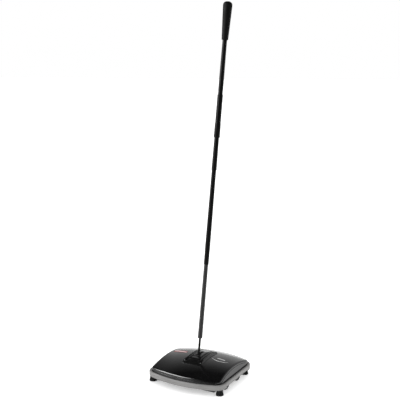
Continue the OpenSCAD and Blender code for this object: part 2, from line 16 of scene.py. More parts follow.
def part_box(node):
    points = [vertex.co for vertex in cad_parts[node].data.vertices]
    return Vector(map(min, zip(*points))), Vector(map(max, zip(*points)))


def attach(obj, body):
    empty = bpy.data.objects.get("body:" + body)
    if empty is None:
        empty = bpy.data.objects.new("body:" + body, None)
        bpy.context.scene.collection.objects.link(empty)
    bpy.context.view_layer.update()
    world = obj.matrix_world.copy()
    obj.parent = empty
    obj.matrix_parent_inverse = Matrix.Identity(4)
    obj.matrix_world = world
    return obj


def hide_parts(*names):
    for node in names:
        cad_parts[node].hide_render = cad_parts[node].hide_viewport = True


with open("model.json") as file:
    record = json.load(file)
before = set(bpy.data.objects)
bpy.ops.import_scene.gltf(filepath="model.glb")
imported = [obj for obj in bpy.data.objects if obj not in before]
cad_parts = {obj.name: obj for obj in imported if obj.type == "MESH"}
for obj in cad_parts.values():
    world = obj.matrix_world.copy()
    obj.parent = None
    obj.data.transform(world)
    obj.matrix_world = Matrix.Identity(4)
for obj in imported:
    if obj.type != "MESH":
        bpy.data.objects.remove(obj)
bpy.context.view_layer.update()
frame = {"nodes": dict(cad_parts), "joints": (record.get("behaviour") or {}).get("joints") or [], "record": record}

MM = 0.001
LEFT, RIGHT = -1, 1
FRONT, REAR = -1, 1
CORNERS = ("left_front", "left_rear", "right_front", "right_rear")


def box_mm(node):
    """A CAD node's lowest and highest corners, in millimetres."""
    lo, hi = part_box(node)
    return lo / MM, hi / MM


# ---------- the case's form, from the frame ----------

case_lo, case_hi = box_mm("bumper")
HALF_W, HALF_D = case_hi.x, case_hi.y
BUMPER_LOW, BUMPER_TOP = case_lo.z, case_hi.z
LEDGE = HALF_W - box_mm("top_cover")[1].x
FOOT_Z = box_mm("top_cover")[0].z
EDGE_BOW = 25.7  # how far the front and rear edges bow out
CORNER_R = 33.0
RIDGE_IN = 5.0  # from the ledge to where the crown's falls are measured
FRONT_SLOPE = 0.27  # how far a wall leans in for each millimetre up
SIDE_SLOPE = 0.22
CROWN_Z = 64.4
CROWN_FALL = 21.5  # from the middle to the front and rear
CROWN_POWER = 2.0
SIDE_FALL = 9.5
COVER_T = 2.2
NOTCH_HALF = 71.0  # the band's lower edge is raised along this half length of each side
NOTCH_STEP = 0.3
SIDE_RISE = 2.4

BOW_R = (HALF_W ** 2 + EDGE_BOW ** 2) / (2 * EDGE_BOW)
BOW_CY = BOW_R - HALF_D
CORNER_CX = HALF_W - CORNER_R
CORNER_CY = math.sqrt((BOW_R - CORNER_R) ** 2 - CORNER_CX ** 2) - BOW_CY
CORNER_TURN = math.asin(CORNER_CX / (BOW_R - CORNER_R))
CROWN_REACH = HALF_D - LEDGE - RIDGE_IN
HALF_SIDE = HALF_W - LEDGE - RIDGE_IN
CROWN_R = (HALF_SIDE ** 2 + SIDE_FALL ** 2) / (2 * SIDE_FALL)


def quarter(inset, bow=22, corner=14, side=14):
    """The outline from the middle of the front round to the middle of the right side."""
    out = []
    for k in range(bow):
        t = CORNER_TURN * k / bow
        out.append(((BOW_R - inset) * math.sin(t), BOW_CY - (BOW_R - inset) * math.cos(t)))
    for k in range(corner + 1):
        t = CORNER_TURN + (math.pi / 2 - CORNER_TURN) * k / corner
        out.append((CORNER_CX + (CORNER_R - inset) * math.sin(t),
                    -CORNER_CY - (CORNER_R - inset) * math.cos(t)))
    out += [(HALF_W - inset, -NOTCH_HALF - NOTCH_STEP), (HALF_W - inset, -NOTCH_HALF + NOTCH_STEP)]
    for k in range(1, side + 1):
        out.append((HALF_W - inset, -CORNER_CY * (1 - k / side)))
    return out


def outline(inset):
    """The case's whole outline seen from above, anticlockwise from the middle of the front."""
    q = quarter(inset)
    right = q + [(x, -y) for x, y in reversed(q[:-1])]
    return right + [(-x, y) for x, y in reversed(right[1:-1])]


def crown(x, y):
    """Height of the crowned top."""
    r = CROWN_R - CROWN_FALL * (abs(y) / CROWN_REACH) ** CROWN_POWER
    return CROWN_Z - CROWN_R + math.sqrt(r * r - x * x)


def smooth(a, b, x):
    """0 below a, 1 above b, and an S curve between."""
    t = min(1.0, max(0.0, (x - a) / (b - a)))
    return t * t * (3 - 2 * t)


def lerp(a, b, t):
    """The point t of the way from a to b."""
    return tuple(p + (q - p) * t for p, q in zip(a, b))


# ---------- making meshes ----------

def make(name, verts, faces, material, smooth_faces=True, sharp_deg=40):
    """A mesh object from points in millimetres."""
    mesh = bpy.data.meshes.new(name)
    mesh.from_pydata([(x * MM, y * MM, z * MM) for x, y, z in verts], [], faces)
    mesh.validate()
    mesh.update()
    obj = bpy.data.objects.new(name, mesh)
    bpy.context.scene.collection.objects.link(obj)
    mesh.materials.append(material)
    tidy_normals(obj)
    if smooth_faces:
        shade(obj, sharp_deg)
    return obj


def tidy_normals(obj):
    """Joins doubled points and turns the faces outwards."""
    bm = bmesh.new()
    bm.from_mesh(obj.data)
    bmesh.ops.remove_doubles(bm, verts=bm.verts, dist=1e-6)
    bmesh.ops.recalc_face_normals(bm, faces=bm.faces)
    bm.to_mesh(obj.data)
    bm.free()


def shade(obj, sharp_deg):
    """Smooth shading, with edges over an angle kept sharp."""
    bm = bmesh.new()
    bm.from_mesh(obj.data)
    limit = math.radians(sharp_deg)
    for f in bm.faces:
        f.smooth = True
    for e in bm.edges:
        e.smooth = len(e.link_faces) != 2 or e.calc_face_angle(0) < limit
    bm.to_mesh(obj.data)
    bm.free()


def rings_to_faces(n_rings, n, closed_tube=False):
    """Quads between rings of n points each; closed_tube joins the last ring to the first."""
    faces = []
    for r in range(n_rings if closed_tube else n_rings - 1):
        a, b = r * n, ((r + 1) % n_rings) * n
        for k in range(n):
            m = (k + 1) % n
            faces.append((a + k, a + m, b + m, b + k))
    return faces


def lathe(profile, n=64):
    """Points and faces of a (radius, height) profile turned about Z, closed where it meets the axis."""
    verts, faces, rows = [], [], []
    for r, z in profile:
        if r < 1e-6:
            rows.append([len(verts)])
            verts.append((0, 0, z))
        else:
            rows.append(list(range(len(verts), len(verts) + n)))
            verts += [(r * math.cos(2 * math.pi * k / n), r * math.sin(2 * math.pi * k / n), z)
                      for k in range(n)]
    for a, b in zip(rows, rows[1:]):
        for k in range(n):
            m = (k + 1) % n
            ring = [a[k % len(a)], a[m % len(a)], b[m % len(b)], b[k % len(b)]]
            face = tuple(dict.fromkeys(ring))
            if len(face) > 2:
                faces.append(face)
    return verts, faces


def rounded(profile, radius, steps=4):
    """A profile with its inner corners rounded by short arcs."""
    out = [profile[0]]
    for a, b, c in zip(profile, profile[1:], profile[2:]):
        la, lc = math.dist(a, b), math.dist(b, c)
        r = min(radius, la * 0.45, lc * 0.45)
        if r < 1e-3:
            out.append(b)
            continue
        p, q = lerp(b, a, r / la), lerp(b, c, r / lc)
        for k in range(steps + 1):
            t = k / steps
            out.append(lerp(lerp(p, b, t), lerp(b, q, t), t))
    return out + [profile[-1]]


def placed(points, matrix):
    """Points moved by a matrix."""
    return [tuple(matrix @ Vector(p)) for p in points]


def merge(parts):
    """One list of points and faces from several."""
    verts, faces = [], []
    for v, f in parts:
        base = len(verts)
        verts += v
        faces += [tuple(i + base for i in face) for face in f]
    return verts, faces


def stand_for(obj, body, slot, *nodes):
    """The piece rides on a body and replaces CAD nodes; slot is not used."""
    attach(obj, body)
    if nodes:
        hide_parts(*nodes)
    return obj


# ---------- materials ----------

def set_range(node, low, high, out_low, out_high):
    """Fills in a Map Range node."""
    for key, value in (("From Min", low), ("From Max", high), ("To Min", out_low), ("To Max", out_high)):
        node.inputs[key].default_value = value


class Shader:
    """A small helper for a node material around one Principled shader."""

    def __init__(self, name, color, roughness, metallic=0.0, **sockets):
        self.mat = bpy.data.materials.new(name)
        self.mat.use_nodes = True
        self.mat.diffuse_color = (*color, 1)
        self.tree = self.mat.node_tree
        self.bsdf = self.tree.nodes["Principled BSDF"]
        self.bsdf.inputs["Base Color"].default_value = (*color, 1)
        self.bsdf.inputs["Roughness"].default_value = roughness
        self.bsdf.inputs["Metallic"].default_value = metallic
        for key, value in sockets.items():
            self.bsdf.inputs[key.replace("_", " ")].default_value = value
        self.height = None
        self.coords = self.node("ShaderNodeTexCoord").outputs["Object"]

    def node(self, kind):
        return self.tree.nodes.new(kind)

    def link(self, a, b):
        self.tree.links.new(a, b)

    def stretched(self, scale):
        """Object coordinates stretched by a scale for each axis."""
        m = self.node("ShaderNodeMapping")
        m.inputs["Scale"].default_value = scale
        self.link(self.coords, m.inputs["Vector"])
        return m.outputs["Vector"]

    def noise(self, scale, detail=3.0, stretch=(1, 1, 1), roughness=0.5):
        n = self.node("ShaderNodeTexNoise")
        n.inputs["Scale"].default_value = scale
        n.inputs["Detail"].default_value = detail
        n.inputs["Roughness"].default_value = roughness
        self.link(self.stretched(stretch), n.inputs["Vector"])
        return n.outputs["Fac"]

    def band(self, source, low, high, out_low, out_high):
        """Maps low..high of a value to out_low..out_high."""
        m = self.node("ShaderNodeMapRange")
        set_range(m, low, high, out_low, out_high)
        self.link(source, m.inputs["Value"])
        return m.outputs["Result"]

    def bump(self, source, strength, distance_mm):
        b = self.node("ShaderNodeBump")
        b.inputs["Strength"].default_value = strength
        b.inputs["Distance"].default_value = distance_mm * MM
        self.link(source, b.inputs["Height"])
        if self.height is not None:
            self.link(self.height, b.inputs["Normal"])
        self.height = b.outputs["Normal"]
        self.link(self.height, self.bsdf.inputs["Normal"])
        return self

    def vary_roughness(self, source, low, high, out_low, out_high):
        self.link(self.band(source, low, high, out_low, out_high), self.bsdf.inputs["Roughness"])
        return self

    def vary_color(self, source, dark, light, low=0.35, high=0.65):
        ramp = self.node("ShaderNodeValToRGB")
        ramp.color_ramp.elements[0].position = low
        ramp.color_ramp.elements[0].color = (*dark, 1)
        ramp.color_ramp.elements[1].position = high
        ramp.color_ramp.elements[1].color = (*light, 1)
        self.link(source, ramp.inputs["Fac"])
        self.link(ramp.outputs["Color"], self.bsdf.inputs["Base Color"])
        return self


def cover_material():
    """Glossy black moulding, with a faint orange-peel and fine handling haze."""
    s = Shader("cover_gloss", (0.003, 0.003, 0.003), 0.12, Specular_IOR_Level=0.5)
    s.vary_roughness(s.noise(40, 4), 0.3, 0.7, 0.09, 0.15)
    s.vary_color(s.noise(9, 3), (0.0025, 0.0025, 0.0026), (0.0038, 0.0038, 0.0039))
    return s.bump(s.noise(260, 2), 0.05, 0.3).mat


def pad_material():
    """Satin black moulding with a fine spark-eroded grain."""
    s = Shader("pad_satin", (0.004, 0.004, 0.004), 0.2)
    s.vary_roughness(s.noise(120, 3), 0.3, 0.7, 0.17, 0.23)
    s.vary_color(s.noise(14, 3), (0.003, 0.003, 0.003), (0.005, 0.005, 0.005))
    return s.bump(s.noise(1500, 2), 0.12, 0.15).mat


def bumper_material():
    """Soft grey vinyl: satin, slightly mottled, with fine scuffs along the band."""
    s = Shader("bumper_vinyl", (0.19, 0.187, 0.184), 0.5)
    s.vary_color(s.noise(30, 5), (0.178, 0.175, 0.172), (0.203, 0.20, 0.197))
    s.vary_roughness(s.noise(70, 4, (1, 1, 4)), 0.3, 0.7, 0.42, 0.6)
    return s.bump(s.noise(900, 3), 0.1, 0.2).mat


def moulded_material(name, dark, light, roughness=0.5, gloss=0.5):
    """Plain matt moulding with a fine grain."""
    s = Shader(name, dark, roughness, Specular_IOR_Level=gloss)
    s.vary_color(s.noise(18, 4), dark, light)
    s.vary_roughness(s.noise(60, 3), 0.3, 0.7, roughness - 0.07, roughness + 0.08)
    return s.bump(s.noise(1100, 2), 0.15, 0.2).mat


def steel_material(name="plated_steel", stretch=(1, 30, 30)):
    """Zinc-plated steel with fine drawn lines."""
    s = Shader(name, (0.56, 0.57, 0.58), 0.32, metallic=1.0)
    lines = s.noise(45, 4, stretch)
    s.vary_roughness(lines, 0.3, 0.7, 0.24, 0.42)
    s.vary_color(s.noise(25, 3), (0.50, 0.51, 0.52), (0.62, 0.62, 0.62))
    return s.bump(lines, 0.06, 0.1).mat


def powder_material(name, dark, light, roughness, gloss):
    """Powder-coated tube: a fine orange-peel under a semi-gloss."""
    s = Shader(name, dark, roughness, Specular_IOR_Level=gloss)
    s.vary_color(s.noise(12, 4, (1, 1, 0.3)), dark, light)
    s.vary_roughness(s.noise(90, 3, (1, 1, 0.4)), 0.3, 0.7, roughness - 0.05, roughness + 0.08)
    return s.bump(s.noise(700, 2), 0.12, 0.15).mat


def grip_material():
    """Soft-touch vinyl with a fine leather-like grain."""
    s = Shader("grip_vinyl", (0.0015, 0.0015, 0.0015), 0.55, Specular_IOR_Level=0.1)
    v = s.node("ShaderNodeTexVoronoi")
    v.inputs["Scale"].default_value = 900
    s.link(s.stretched((1, 1, 0.7)), v.inputs["Vector"])
    s.vary_color(s.noise(30, 4), (0.001, 0.001, 0.001), (0.002, 0.002, 0.002))
    s.vary_roughness(s.noise(80, 3), 0.3, 0.7, 0.5, 0.66)
    return s.bump(v.outputs["Distance"], 0.25, 0.2).mat


def rubber_material():
    """Matt black rubber with a coarse grain."""
    s = Shader("tyre_rubber", (0.012, 0.012, 0.012), 0.72)
    s.vary_color(s.noise(60, 5), (0.009, 0.009, 0.009), (0.02, 0.0195, 0.019))
    s.vary_roughness(s.noise(90, 3), 0.3, 0.7, 0.62, 0.85)
    return s.bump(s.noise(1200, 3), 0.25, 0.25).mat


def bristle_material(name, dark, light):
    """Drawn nylon filaments, a little uneven in tone."""
    s = Shader(name, dark, 0.5, Specular_IOR_Level=0.25)
    return s.vary_color(s.noise(400, 2, (1, 1, 0.1)), dark, light).mat


def wood_material():
    """Sealed beech: straight grain along the roller."""
    s = Shader("beech", (0.45, 0.28, 0.14), 0.45, Coat_Weight=0.2, Coat_Roughness=0.25)
    grain = s.noise(60, 6, (0.12, 3, 3))
    s.vary_color(grain, (0.33, 0.19, 0.09), (0.55, 0.37, 0.20))
    s.vary_roughness(grain, 0.3, 0.7, 0.38, 0.52)
    return s.bump(grain, 0.1, 0.2).mat


def nylon_material():
    """Undyed nylon, faintly translucent."""
    s = Shader("natural_nylon", (0.72, 0.70, 0.64), 0.4, Subsurface_Weight=0.1)
    s.vary_color(s.noise(80, 3), (0.68, 0.66, 0.59), (0.76, 0.74, 0.68))
    return s.bump(s.noise(900, 2), 0.1, 0.1).mat


def badge_material(name, dark, light, roughness):
    """Printed plastic trim."""
    s = Shader(name, dark, roughness)
    s.vary_color(s.noise(60, 3), dark, light)
    s.vary_roughness(s.noise(150, 2), 0.3, 0.7, roughness - 0.04, roughness + 0.06)
    return s.mat


COVER = cover_material()
PAD = pad_material()
BUMPER = bumper_material()
FRAME_BLACK = moulded_material("frame_moulding", (0.020, 0.020, 0.021), (0.028, 0.028, 0.029))
PAN_BLACK = moulded_material("pan_moulding", (0.026, 0.026, 0.027), (0.036, 0.036, 0.037), 0.42)
WHEEL_BLACK = moulded_material("wheel_moulding", (0.014, 0.014, 0.0145), (0.02, 0.02, 0.0205))
STEEL = steel_material()
PLATE = steel_material("sheet_steel", (30, 1, 4))
TUBE = powder_material("black_tube", (0.001, 0.001, 0.0011), (0.0018, 0.0018, 0.0019), 0.4, 0.1)
TUBE_SATIN = powder_material("satin_tube", (0.004, 0.004, 0.0042), (0.006, 0.006, 0.0062), 0.42, 0.45)
COUPLING = moulded_material("coupling_moulding", (0.001, 0.001, 0.001), (0.0018, 0.0018, 0.0018), 0.4, 0.1)
GRIP = grip_material()
RUBBER = rubber_material()
BRISTLE = bristle_material("nylon_bristle", (0.004, 0.004, 0.004), (0.008, 0.008, 0.008))
WOOD = wood_material()
NYLON = nylon_material()
BADGE_RED = badge_material("badge_red", (0.16, 0.018, 0.02), (0.20, 0.026, 0.028), 0.3)
BADGE_PALE = badge_material("badge_pale", (0.62, 0.45, 0.45), (0.68, 0.52, 0.52), 0.35)
ACCENT = badge_material("accent_foil", (0.42, 0.42, 0.42), (0.5, 0.5, 0.5), 0.45)


# ---------- case ----------

HEM_TOP = BUMPER_LOW + 5.0


def build_bumper():
    """The band: a face with a soft bead along its top, a ledge inside it and a hem below."""
    inner = LEDGE - 0.1
    section = rounded([(inner, FOOT_Z), (inner, BUMPER_TOP + 0.2), (3.2, BUMPER_TOP + 0.9),
                       (1.4, BUMPER_TOP + 1.0), (0.0, BUMPER_TOP - 1.2), (0.25, BUMPER_LOW + 7),
                       (0.0, BUMPER_LOW + 2.2), (1.2, BUMPER_LOW), (3.4, BUMPER_LOW),
                       (3.7, BUMPER_LOW + 1.5), (3.7, FOOT_Z)], 1.3)
    n = len(outline(0))
    verts = []
    for inset, z in section:
        for x, y in outline(inset):
            at_notch = z < HEM_TOP and abs(y) < NOTCH_HALF and abs(x) > CORNER_CX
            verts.append((x, y, z + SIDE_RISE if at_notch else z))
    obj = make("bumper_band", verts, rings_to_faces(len(section), n, closed_tube=True), BUMPER)
    return stand_for(obj, "case", "bumper", "bumper")


HOLE_HALF = 12.5
HOLE_FRONT, HOLE_REAR = -21.5, 23.5
RIDGE_FILLET = 4.2
SEARCH_STEPS = 40
SEARCH_IN = 22  # how far inside the foot the ridge is looked for
WALL_ROWS, FILLET_ROWS, TOP_ROWS = 7, 8, 44
GROOVE_DEPTH = 1.0
GROOVE_START = 3.2  # the plain wall stops this far below the fillet
# A shallow groove under the fillet: (distance below the fillet, share of the depth).
GROOVE = [(3.1, 0.0), (2.8, 0.8), (2.4, 1.0), (1.5, 1.0), (1.1, 0.7), (0.8, 0.0)]


def hole_point(x, y):
    """Where a line from the hole's centre towards (x, y) crosses the hole's edge."""
    cy = (HOLE_FRONT + HOLE_REAR) / 2
    half_y = (HOLE_REAR - HOLE_FRONT) / 2
    dx, dy = x, y - cy
    t = min(HOLE_HALF / max(abs(dx), 1e-6), half_y / max(abs(dy), 1e-6))
    return dx * t, cy + dy * t


def wall_height(x, y, t):
    """Height of the cover's leaning side or end face over a point; t draws it in by a wall's thickness."""
    side = (HALF_W - LEDGE - t - abs(x)) / SIDE_SLOPE + FOOT_Z - 1
    end = (BOW_R - LEDGE - t - math.hypot(x, abs(y) + BOW_CY)) / FRONT_SLOPE + BUMPER_TOP
    return min(side, end)


def cover_column(foot, inner, t):
    """One line of the cover's surface: up the wall from the foot, round the ridge and onto the crown.

    The outer skin, where t is 0, has the groove. The second result is where the line reaches the crown.
    """
    def at(u):
        return lerp(foot, inner, u)

    low, high = 0.0, 1.0
    for _ in range(SEARCH_STEPS):
        u = (low + high) / 2
        if wall_height(*at(u), t) < crown(*at(u)) - t:
            low = u
        else:
            high = u
    ridge = at(low)
    span = math.dist(foot, inner)
    peak = (*ridge, crown(*ridge) - t)
    bottom = (*foot, FOOT_Z)
    radius = min(RIDGE_FILLET, math.dist(bottom, peak) * 0.4)
    over = at(min(1.0, low + radius / span))
    start = lerp(peak, bottom, radius / math.dist(bottom, peak))
    end = (*over, crown(*over) - t)
    wall = math.dist(bottom, start)
    column = [lerp(bottom, start, i / WALL_ROWS * (1 - GROOVE_START / wall)) for i in range(WALL_ROWS)]
    if t == 0:
        into = at(GROOVE_DEPTH / span)
        shift = (into[0] - foot[0], into[1] - foot[1], 0)
        for back, depth in GROOVE:
            x, y, z = lerp(start, bottom, back / wall)
            column.append((x + shift[0] * depth, y + shift[1] * depth, z))
    else:
        column += [lerp(start, bottom, back / wall) for back, _ in GROOVE]
    for i in range(FILLET_ROWS + 1):
        u = i / FILLET_ROWS
        column.append(lerp(lerp(start, peak, u), lerp(peak, end, u), u))
    return column, over


def cover_rings(t):
    """The cover's surface from its foot to the hole, as rings."""
    foot, inner = outline(LEDGE + t), outline(LEDGE + t + SEARCH_IN)
    columns, edge = [], []
    for k in range(len(foot)):
        column, over = cover_column(foot[k], inner[k], t)
        columns.append(column)
        edge.append(over)
    rings = [list(ring) for ring in zip(*columns)]
    for i in range(1, TOP_ROWS + 1):
        row = []
        for point in edge:
            x, y = lerp(point, hole_point(*point), i / TOP_ROWS)
            row.append((x, y, crown(x, y) - t))
        rings.append(row)
    return rings


def build_cover():
    """The crowned shell: an outer and an inner skin, joined at the foot and at the hole."""
    outer = cover_rings(0)
    inner = cover_rings(COVER_T)
    rings = outer + inner[::-1]
    verts = [p for ring in rings for p in ring]
    faces = rings_to_faces(len(rings), len(rings[0]), closed_tube=True)
    obj = make("cover_shell", verts, faces, COVER, sharp_deg=55)
    return stand_for(obj, "case", "cover", "top_cover")


# ---------- pivot pad ----------

pad_lo, pad_hi = box_mm("pivot_base")
PAD_HALF = pad_hi.x
PAD_FRONT, PAD_REAR = pad_lo.y, pad_hi.y
PIVOT_Y = -10.5
SLOT_HALF = 3.8
SLOT_FRONT, SLOT_REAR = -18.0, 20.0
POCKET_HALF, POCKET_Y = 8.5, 4.8
SLOT_FLOOR = 57.0
PAD_CORNER = 10
PAD_OVERHANG = 0.4
PAD_UNDER = 1.6  # the pad's underside lies this far below the crown
PAD_SUNK = 1.5  # its outer edge starts this far below the crown
PAD_LIFT, PAD_RAMP = 4.8, 25
PAD_REAR_DROP = 1.0
PAD_FLANK = 3.2
SPINE_STEP = 1.0
INNER_CHANNEL, OUTER_CHANNEL = 14.6, 22.0
CHANNEL_SPLAY = 7.0
CHANNEL_DEPTH, CHANNEL_HALF = 3.0, 1.7
RIB_HALF = 2.0


def inside_rounded_box(x, y, x0, x1, y0, y1, r):
    """How far inside a rounded box a point is; negative outside."""
    cx, cy = (x0 + x1) / 2, (y0 + y1) / 2
    qx = abs(x - cx) - (x1 - x0) / 2 + r
    qy = abs(y - cy) - (y1 - y0) / 2 + r
    return r - math.hypot(max(qx, 0), max(qy, 0)) - min(max(qx, qy), 0)


def pad_height(x, y):
    """The pad's surface above the crown: a lifted saddle with a stepped spine, ribs and grooves."""
    d = inside_rounded_box(x, y, -PAD_HALF, PAD_HALF, PAD_FRONT, PAD_REAR, PAD_CORNER)
    side = abs(x)
    base = PAD_LIFT * min(1.0, (y - PAD_FRONT) / PAD_RAMP) - PAD_REAR_DROP * smooth(30, 56, y)
    flank = smooth(0.0, PAD_FLANK, d + PAD_FLANK * smooth(-50, -56, y))
    lift = -PAD_SUNK + PAD_SUNK * smooth(-PAD_OVERHANG, 1.0, d) + base * flank
    spine = smooth(13.2, 11.8, side) * smooth(38, 14, y)
    lift += spine * SPINE_STEP * (smooth(-33.5, -30.5, y) + smooth(-22.0, -19.0, y))
    outer = OUTER_CHANNEL + CHANNEL_SPLAY * max(0.0, (y - 12) / 34) ** 2
    middle = (INNER_CHANNEL + outer) / 2
    along_in = smooth(-38, -33, y) * smooth(46, 42, y)
    along_out = smooth(-48, -42, y) * smooth(48, 44, y)
    lift -= CHANNEL_DEPTH * along_in * groove(side - INNER_CHANNEL, CHANNEL_HALF)
    lift -= CHANNEL_DEPTH * along_out * groove(side - outer, CHANNEL_HALF)
    lift += 0.6 * along_in * groove(side - middle, RIB_HALF)
    lift += 0.5 * along_out * groove(side - outer - 4.6, RIB_HALF)
    return lift


def groove(distance, half):
    """A soft-edged channel's depth, 1 in the middle."""
    return smooth(half + 0.9, half - 0.5, abs(distance))


def build_pad():
    """The pad as a fine height field, open at the slot and the pocket, with walls down into the case."""
    def steps(a, b, size, marks):
        count = int(round((b - a) / size))
        line = [a + (b - a) * i / count for i in range(count + 1)]
        line = [v for v in line if all(abs(v - m) > size * 0.45 for m in marks)]
        return sorted(line + marks)

    xs = steps(-PAD_HALF - PAD_OVERHANG, PAD_HALF + PAD_OVERHANG, 0.55,
               [-POCKET_HALF, POCKET_HALF, -SLOT_HALF, SLOT_HALF])
    ys = steps(PAD_FRONT - PAD_OVERHANG, PAD_REAR + PAD_OVERHANG, 0.7,
               [SLOT_FRONT, SLOT_REAR, PIVOT_Y - POCKET_Y, PIVOT_Y + POCKET_Y])

    def is_open(x, y):
        in_slot = abs(x) < SLOT_HALF and SLOT_FRONT < y < SLOT_REAR
        return in_slot or (abs(x) < POCKET_HALF and abs(y - PIVOT_Y) < POCKET_Y)

    def in_pad(x, y):
        d = inside_rounded_box(x, y, -PAD_HALF, PAD_HALF, PAD_FRONT, PAD_REAR, PAD_CORNER)
        return d > -PAD_OVERHANG

    rim = 3
    index, verts, faces = {}, [], []

    def point(i, j, low):
        key = (i, j, low)
        if key not in index:
            x, y = xs[i], ys[j]
            index[key] = len(verts)
            opening = inside_rounded_box(x, y, -POCKET_HALF - rim, POCKET_HALF + rim,
                                         SLOT_FRONT - rim, SLOT_REAR + rim, 1)
            floor = SLOT_FLOOR if opening > -0.6 else crown(x, y) - PAD_UNDER
            verts.append((x, y, floor if low else crown(x, y) + pad_height(x, y)))
        return index[key]

    cells = set()
    for i in range(len(xs) - 1):
        for j in range(len(ys) - 1):
            mx, my = (xs[i] + xs[i + 1]) / 2, (ys[j] + ys[j + 1]) / 2
            if in_pad(mx, my) and not is_open(mx, my):
                cells.add((i, j))
    for i, j in sorted(cells):
        faces.append((point(i, j, 0), point(i + 1, j, 0), point(i + 1, j + 1, 0), point(i, j + 1, 0)))
        faces.append((point(i, j, 1), point(i, j + 1, 1), point(i + 1, j + 1, 1), point(i + 1, j, 1)))
        for (di, dj), a, b in (((0, -1), (i, j), (i + 1, j)), ((1, 0), (i + 1, j), (i + 1, j + 1)),
                               ((0, 1), (i + 1, j + 1), (i, j + 1)), ((-1, 0), (i, j + 1), (i, j))):
            if (i + di, j + dj) not in cells:
                faces.append((point(*a, 0), point(*a, 1), point(*b, 1), point(*b, 0)))
    obj = make("pivot_pad", verts, faces, PAD, sharp_deg=50)
    return stand_for(obj, "case", "pad", "pivot_base")


# ---------- trim on the crown ----------

def crown_plate(name, shape, thickness, material, inset_edge=0.35, sink=0.4):
    """A thin plate on the crown, from a closed outline in millimetres."""
    cx = sum(p[0] for p in shape) / len(shape)
    cy = sum(p[1] for p in shape) / len(shape)
    scale = 1 - inset_edge * 2 / max(abs(p[1] - cy) * 2 for p in shape)
    n = len(shape)
    rows = [[(x, y, crown(x, y) - sink) for x, y in shape],
            [(x, y, crown(x, y) + thickness * 0.6) for x, y in shape]]
    for f, h in ((scale, 1.0), (scale * 0.66, 1.0), (scale * 0.33, 1.0)):
        row = []
        for x, y in shape:
            px, py = cx + (x - cx) * f, cy + (y - cy) * f
            row.append((px, py, crown(px, py) + thickness * h))
        rows.append(row)
    verts = [p for row in rows for p in row]
    faces = rings_to_faces(len(rows), n)
    verts.append((cx, cy, crown(cx, cy) + thickness))
    top = (len(rows) - 1) * n
    faces += [(top + k, top + (k + 1) % n, len(verts) - 1) for k in range(n)]
    faces.append(tuple(reversed(range(n))))
    return make(name, verts, faces, material, sharp_deg=60)


def rounded_rect(cx, cy, w, d, r, per_side=14):
    """A closed outline of a rectangle with round corners."""
    out = []
    for qx, qy, a0 in ((1, 1, 0), (-1, 1, 90), (-1, -1, 180), (1, -1, 270)):
        for k in range(6):
            a = math.radians(a0 + 18 * k)
            out.append((cx + qx * (w / 2 - r) + r * math.cos(a), cy + qy * (d / 2 - r) + r * math.sin(a)))
    dense = []
    for a, b in zip(out, out[1:] + out[:1]):
        count = max(1, int(math.dist(a, b) / (w / per_side)))
        dense += [lerp(a, b, i / count) for i in range(count)]
    return dense


def build_badge():
    """A dull red plate with a plain pale bar; it carries no lettering."""
    lo, hi = box_mm("badge")
    cx, cy = (lo.x + hi.x) / 2, (lo.y + hi.y) / 2
    w, d = hi.x - lo.x, hi.y - lo.y
    plate = crown_plate("badge_plate", rounded_rect(cx, cy, w, d, 3), 0.5, BADGE_RED)
    stand_for(plate, "case", "badge", "badge")
    lean = math.tan(math.radians(6))
    forward = 1.6
    leaning = [(x, y - forward - (x - cx) * lean) for x, y in rounded_rect(cx, cy, w - 1.6, d * 0.36, 1.4)]
    bar = crown_plate("badge_bar", leaning, 0.75, BADGE_PALE)
    stand_for(bar, "case", "badge")


ARC_X, ARC_SPAN = 61.5, 53.6
ARC_INNER_Y, ARC_INNER_R = 30.7, 38.3
ARC_OUTER_Y, ARC_OUTER_R = 37.3, 42.9


def build_accent():
    """A plain silver bar and, in front of it, a thin crescent that is widest in the middle."""
    bar = crown_plate("accent_bar", rounded_rect(62.5, 10.5, 24.8, 4.3, 1.2), 0.4, ACCENT)
    stand_for(bar, "case", "accent", "accent")
    points = 28
    upper, lower = [], []
    for k in range(points + 1):
        u = k / points
        x = ARC_X + ARC_SPAN * (u - 0.5)
        low = ARC_INNER_Y - math.sqrt(ARC_INNER_R ** 2 - (x - ARC_X) ** 2)
        high = ARC_OUTER_Y - math.sqrt(ARC_OUTER_R ** 2 - (x - ARC_X) ** 2)
        upper.append((x, high))
        lower.append((x, low))
    n = points + 1
    verts = []
    for h in (-0.3, 0.4):
        for x, y in upper + lower:
            verts.append((x, y, crown(x, y) + h))
    faces = []
    for k in range(points):
        faces.append((k, k + 1, n + k + 1, n + k))
        faces.append((2 * n + k, 3 * n + k, 3 * n + k + 1, 2 * n + k + 1))
        faces.append((k, 2 * n + k, 2 * n + k + 1, k + 1))
        faces.append((n + k, n + k + 1, 3 * n + k + 1, 3 * n + k))
    faces.append((0, n, 3 * n, 2 * n))
    faces.append((n - 1, 3 * n - 1, 4 * n - 1, 2 * n - 1))
    arc = make("accent_arc", verts, faces, ACCENT, sharp_deg=60)
    stand_for(arc, "case", "accent")


# ---------- handle ----------

PIVOT = Vector(next(j for j in frame["joints"] if j["name"] == "handle_pitch")["pos_m"]) / MM
LEAN = math.radians(10)
HANDLE_SIDES = 72
ON_HANDLE = Matrix.Translation(PIVOT) @ Matrix.Rotation(-LEAN, 4, "X")


def along(node):
    """Where a handle node starts and ends along the handle's axis, measured from the pivot."""
    axis = ON_HANDLE.to_3x3() @ Vector((0, 0, 1))
    spans = [(v.co / MM - PIVOT).dot(axis) for v in frame["nodes"][node].data.vertices]
    return min(spans), max(spans)


